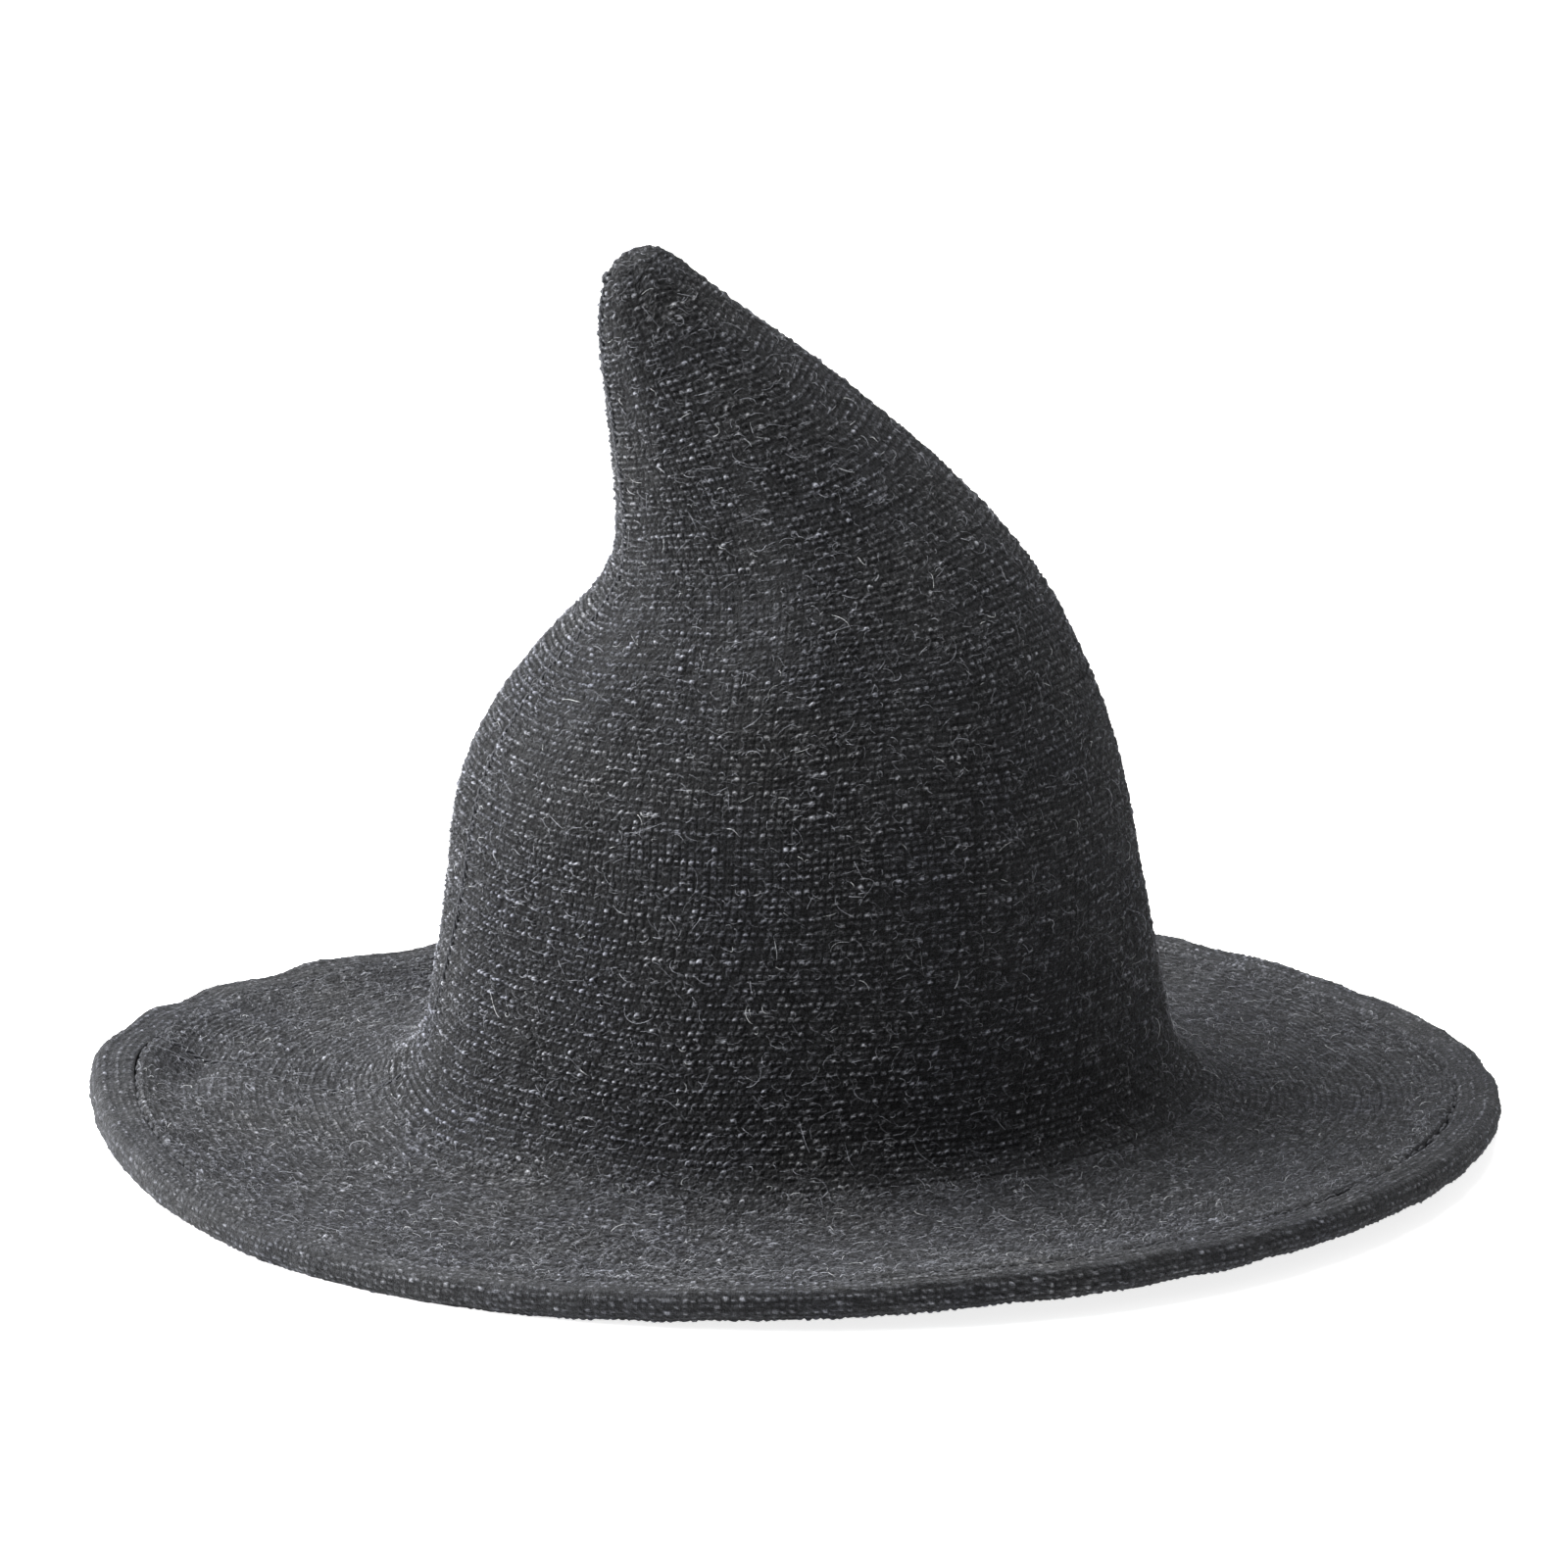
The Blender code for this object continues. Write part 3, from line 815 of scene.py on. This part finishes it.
def soften(shader, sheen):
    """Cloth's dull finish, with the pale halo of its fibres at a slant."""
    shader.inputs["Roughness"].default_value = 0.95
    shader.inputs["Specular IOR Level"].default_value = 0.1
    shader.inputs["Sheen Weight"].default_value = sheen
    shader.inputs["Sheen Roughness"].default_value = 0.5
    shader.inputs["Sheen Tint"].default_value = (0.8, 0.82, 0.87, 1.0)


def grey(value, blue=1.15):
    return (value, value * 1.03, value * blue)


def wool(name, dark, mid, light, bright):
    """Grey wool, with painted shade between the stitches and painted light on the strands' tops, both taken
    from the yarn's relief, and sparse pale flecks.
    """
    made, tree, shader = new_material(name)
    place = node(tree, "ShaderNodeTexCoord").outputs["Object"]
    yarn = attribute(tree, "yarn", "Vector")
    relief = attribute(tree, "relief")
    streaks = noise(tree, stretched(tree, yarn, (700.0, 3200.0, 1.0)), 1.0)
    crossed = noise(tree, stretched(tree, yarn, (3000.0, 900.0, 1.0)), 1.0, 2.0)
    fluff = noise(tree, place, 1700.0, 3.0, 0.65)
    melange = noise(tree, place, 620.0, 2.0, 0.5)
    patches = noise(tree, place, 34.0, 3.0, 0.55)

    # The relief's share of the level is painted shade in the valleys and painted light on the strands.
    level = weighted(tree, (
        (relief, 0.52), (attribute(tree, "light"), 0.06), (streaks, 0.95), (crossed, 0.6), (melange, 0.55),
    ), -0.9)
    tone = ramp(tree, level, (
        (0.12, grey(dark)), (0.42, grey(mid)), (0.66, grey(light)), (0.92, grey(bright)),
    ))
    tint = ramp(tree, patches, (
        (0.3, (0.88, 0.89, 0.95)), (0.5, (1.0, 1.0, 1.0)), (0.72, (1.1, 1.08, 1.0)),
    ))
    tree.links.new(mixed(tree, "MULTIPLY", tone, tint), shader.inputs["Base Color"])
    bumps(tree, shader, ((streaks, 1.0, 0.0009), (crossed, 0.9, 0.0008), (fluff, 0.9, 0.0005)))
    soften(shader, 0.08)
    shader.inputs["Roughness"].default_value = 0.7
    return made


def loose_wool(name):
    """Single fibres: mostly mid grey, a few nearly white."""
    made, tree, shader = new_material(name)
    place = node(tree, "ShaderNodeTexCoord").outputs["Object"]
    level = weighted(tree, ((attribute(tree, "tone"), 0.9), (noise(tree, place, 900.0, 2.0), 0.2)), -0.08)
    tone = ramp(tree, level, (
        (0.0, grey(0.02)), (0.4, grey(0.12)), (0.75, grey(0.34)), (1.0, grey(0.75, 1.02)),
    ))
    tree.links.new(tone, shader.inputs["Base Color"])
    soften(shader, 0.3)
    return made


def thread(name, dark, light):
    made, tree, shader = new_material(name)
    place = node(tree, "ShaderNodeTexCoord").outputs["Object"]
    twist = noise(tree, place, 2200.0, 3.0)
    fluff = noise(tree, place, 700.0, 3.0)
    tone = ramp(tree, weighted(tree, ((twist, 0.6), (fluff, 0.5))), ((0.35, grey(dark)), (0.75, grey(light))))
    tree.links.new(tone, shader.inputs["Base Color"])
    bumps(tree, shader, ((twist, 0.7, 0.0003), (fluff, 0.3, 0.0002)))
    soften(shader, 0.15)
    return made


def grosgrain(name):
    made, tree, shader = new_material(name)
    place = node(tree, "ShaderNodeTexCoord").outputs["Object"]
    weave = noise(tree, place, 1800.0, 3.0)
    wear = noise(tree, place, 60.0, 3.0)
    level = weighted(tree, ((attribute(tree, "relief"), 0.5), (weave, 0.35), (wear, 0.2)))
    tone = ramp(tree, level, ((0.2, grey(0.006)), (0.8, grey(0.03))))
    tree.links.new(tone, shader.inputs["Base Color"])
    bumps(tree, shader, ((weave, 0.5, 0.0002),))
    soften(shader, 0.1)
    shader.inputs["Roughness"].default_value = 0.7
    return made


def satin(name):
    made, tree, shader = new_material(name)
    place = node(tree, "ShaderNodeTexCoord").outputs["Object"]
    weave = noise(tree, stretched(tree, place, (1.0, 1.0, 4.0)), 1500.0, 2.0)
    stain = noise(tree, place, 90.0, 3.0)
    level = weighted(tree, ((attribute(tree, "relief"), 0.3), (weave, 0.4), (stain, 0.3)))
    tone = ramp(tree, level, ((0.2, (0.42, 0.42, 0.4)), (0.8, (0.68, 0.68, 0.65))))
    tree.links.new(tone, shader.inputs["Base Color"])
    bumps(tree, shader, ((weave, 0.4, 0.0002),))
    shader.inputs["Roughness"].default_value = 0.55
    return made


def drawn_steel(name):
    made, tree, shader = new_material(name)
    place = node(tree, "ShaderNodeTexCoord").outputs["Object"]
    scratches = noise(tree, place, 900.0, 4.0)
    tone = ramp(tree, scratches, ((0.3, (0.36, 0.36, 0.37)), (0.7, (0.56, 0.56, 0.56))))
    tree.links.new(tone, shader.inputs["Base Color"])
    tree.links.new(weighted(tree, ((scratches, 0.3),), 0.2), shader.inputs["Roughness"])
    bumps(tree, shader, ((scratches, 0.3, 0.0001),))
    shader.inputs["Metallic"].default_value = 1.0
    return made


# ---------------------------------------------------------------- the stage

CAMERA_DISTANCE = 3.0
CAMERA_ELEVATION = math.radians(15.3)
VIEW_WIDTH = 0.4115
VIEW_CENTRE = Vector((-0.0032, 0.0, HEM_MID_Z + 0.0871))
FLOOR_REACH = 4.0
FLOOR_DROP = 0.2 * MM
FLOOR_SHADE = 0.6
FLOOR_GLOW = 0.8
SURROUND = 0.47


def add_camera():
    data = bpy.data.cameras.new("camera")
    data.sensor_width = 36.0
    data.lens = data.sensor_width * CAMERA_DISTANCE / VIEW_WIDTH
    data.clip_end = 20.0
    camera = bpy.data.objects.new("camera", data)
    away = Vector((0, -math.cos(CAMERA_ELEVATION), math.sin(CAMERA_ELEVATION)))
    camera.location = VIEW_CENTRE + away * CAMERA_DISTANCE
    camera.rotation_euler = (math.pi / 2 - CAMERA_ELEVATION, 0, 0)
    bpy.context.scene.collection.objects.link(camera)
    bpy.context.scene.camera = camera


def add_light(name, direction, distance, size, power, colour=(1.0, 1.0, 1.0)):
    data = bpy.data.lights.new(name, "AREA")
    data.shape = "DISK"
    data.size = size
    data.energy = power
    data.color = colour
    light = bpy.data.objects.new(name, data)
    toward = Vector(direction).normalized()
    light.location = Vector((0, 0, 0.1)) + toward * distance
    light.rotation_euler = toward.to_track_quat("Z", "Y").to_euler()
    bpy.context.scene.collection.objects.link(light)


def add_stage():
    """A pale floor that glows like a light table, a soft key light from the left, and a plain surround."""
    mesh = bpy.data.meshes.new("floor")
    corners = [(-1, -1), (1, -1), (1, 1), (-1, 1)]
    points = [(x * FLOOR_REACH, y * FLOOR_REACH, -FLOOR_DROP) for x, y in corners]
    mesh.from_pydata(points, [], [(0, 1, 2, 3)])
    made, _, shader = new_material("floor_paint")
    shader.inputs["Base Color"].default_value = (FLOOR_SHADE, FLOOR_SHADE, FLOOR_SHADE, 1.0)
    shader.inputs["Roughness"].default_value = 0.9
    shader.inputs["Emission Color"].default_value = (1.0, 1.0, 1.0, 1.0)
    shader.inputs["Emission Strength"].default_value = FLOOR_GLOW
    mesh.materials.append(made)
    floor = bpy.data.objects.new("floor", mesh)
    bpy.context.scene.collection.objects.link(floor)
    world = bpy.data.worlds.new("surround")
    world.use_nodes = True
    background = world.node_tree.nodes["Background"]
    background.inputs["Color"].default_value = (1.0, 1.0, 1.0, 1.0)
    background.inputs["Strength"].default_value = SURROUND
    bpy.context.scene.world = world
    add_light("key", (-0.8, 0.1, 0.52), 1.3, 2.0, 132.0)
    add_light("top", (-0.05, 0.2, 1.0), 1.5, 1.3, 34.0)
    bpy.context.scene.view_settings.view_transform = "Standard"


# ---------------------------------------------------------------- putting it together


def on_hat(piece, slot, *nodes):
    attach(piece, "hat")
    if nodes:
        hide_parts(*nodes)
    return piece


def bending(piece, slot, *nodes):
    """A piece that goes from the hat into the tip: its placement is baked into its mesh, and the frame's
    parts that it stands for are hidden.
    """
    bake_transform(piece)
    if nodes:
        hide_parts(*nodes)
    return piece


def main():
    add_camera()
    add_stage()
    knit = wool("knit_wool", 0.001, 0.011, 0.07, 0.3)
    felted = wool("felted_knit_wool", 0.002, 0.017, 0.08, 0.28)
    # The hem's wool is a lighter copy of the brim's: painted fill light on the hem's shaded face.
    rolled = wool("rolled_knit_wool_painted_fill", 0.005, 0.026, 0.085, 0.24)
    fuzz = loose_wool("loose_wool")
    yarn = thread("yarn", 0.01, 0.055)
    dark_yarn = thread("dark_yarn", 0.008, 0.04)
    steel = drawn_steel("spring_wire")

    for number, (first, last) in enumerate(shares(0, CROWN_FIRST)):
        piece = knit_band(f"knit_brim_{number + 1}", first, last, felted)
        on_hat(piece, "felted_knit_wool", "brim")
    on_hat(knit_hem("knit_hem_top", 0, HEM_SPLIT, rolled), "felted_knit_wool", "hem")
    on_hat(knit_hem("knit_hem_under", HEM_SPLIT, HEM_COURSES, rolled), "felted_knit_wool", "hem")
    for number, (first, last) in enumerate(shares(CROWN_FIRST, len(COURSES))):
        piece = knit_band(f"knit_crown_{number + 1}", first, last, knit)
        bending(piece, "knit_wool", "crown", "crown_bend", "crown_tip")

    bending(linking_seam(dark_yarn), "thread", "brim_seam", "crown_seam", "tip_seam")
    on_hat(dashes("hem_stitches", hem_line, 168, 0.62, 1 / 168, 0.42 * MM, 0.5 * MM, dark_yarn),
           "thread", "hem_stitching")
    knot = tip_knot(yarn)
    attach(knot, "tip")
    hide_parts("tip_closure")

    band_stitches = on_hat(
        dashes("sweatband_stitches", band_line, 110, 0.6, 1 / 110, 0.35 * MM, 0.45 * MM, dark_yarn),
        "thread", "sweatband_stitching",
    )
    band = on_hat(grosgrain_band(grosgrain("grosgrain")), "grosgrain", "sweatband")
    label = on_hat(woven_label(satin("label_satin")), "label_satin", "label")

    for number in range(2):
        bending(fibres(f"crown_fibres_{number + 1}", 6800, 4.2, 23.6, 40 + number, fuzz), "knit_wool")
        on_hat(fibres(f"brim_fibres_{number + 1}", 6800, 0.0, 4.6, 50 + number, fuzz), "felted_knit_wool")
    stray = {"middle": 5.5, "segments": 9, "lift": 0.9}
    bending(fibres("crown_stray_hairs", 520, 4.2, 23.6, 60, fuzz, **stray), "knit_wool")
    on_hat(fibres("brim_stray_hairs", 520, 0.0, 4.6, 61, fuzz, **stray), "felted_knit_wool")
    for name in ("brim_wire", "wire_sleeve"):
        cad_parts[name].data.materials.clear()
        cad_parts[name].data.materials.append(steel)


main()
